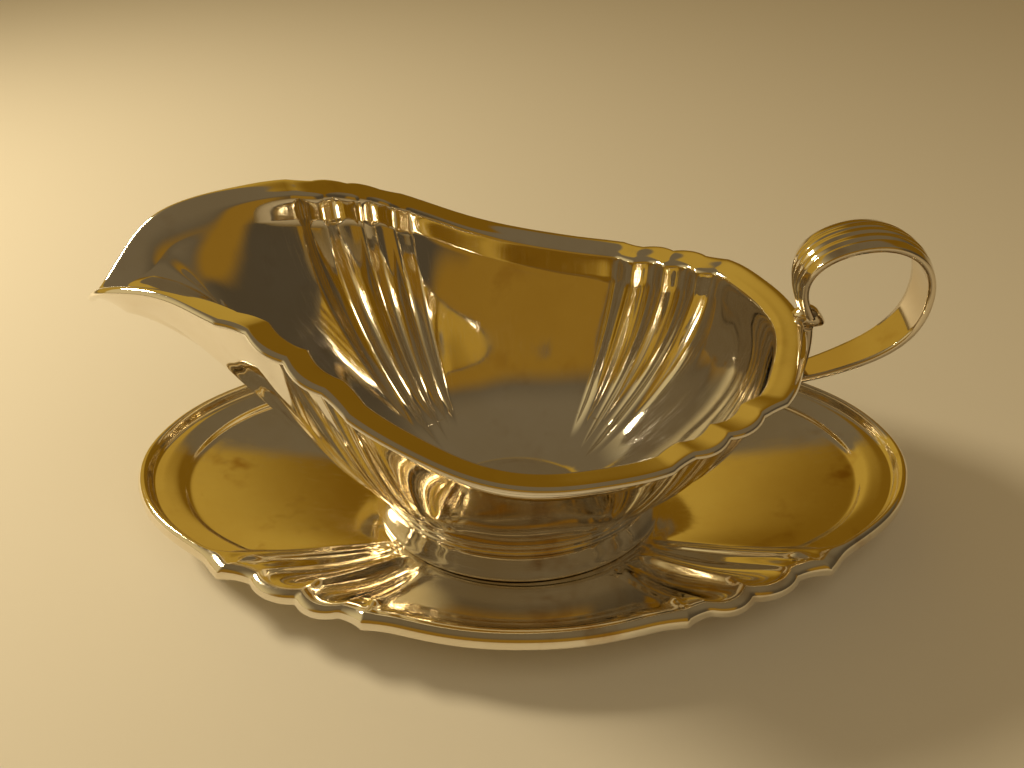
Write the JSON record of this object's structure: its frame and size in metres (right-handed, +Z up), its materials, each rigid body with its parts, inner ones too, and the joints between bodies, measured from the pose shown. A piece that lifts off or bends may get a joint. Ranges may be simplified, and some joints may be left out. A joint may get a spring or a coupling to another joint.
{
  "type": "gravy boat",
  "caption": "Footed gravy boat with a long pouring spout, fluted sides and a looped ribbon handle, standing loose on its scalloped oval tray.",
  "frame": {"origin": "centre of the tray's underside, on the table", "axes": "+X along the boat towards the handle, spout towards -X, +Z up"},
  "size_m": [0.2324, 0.1372, 0.0933],
  "materials": {
    "silver_bowl": "mirror polish",
    "silver_tray": "mirror polish, lightly rubbed"
  },
  "bodies": {
    "tray": {"tray": "silver_tray"},
    "boat": {"bowl": "silver_bowl", "foot": "silver_bowl", "handle_strap": "silver_bowl", "handle_riser": "silver_bowl", "handle_leaf": "silver_bowl"}
  },
  "joints": [
    {"name": "boat_lift", "type": "slide", "parent": "tray", "child": "boat", "axis": [0, 0, 1], "range_m": [0, 0.12]}
  ]
}
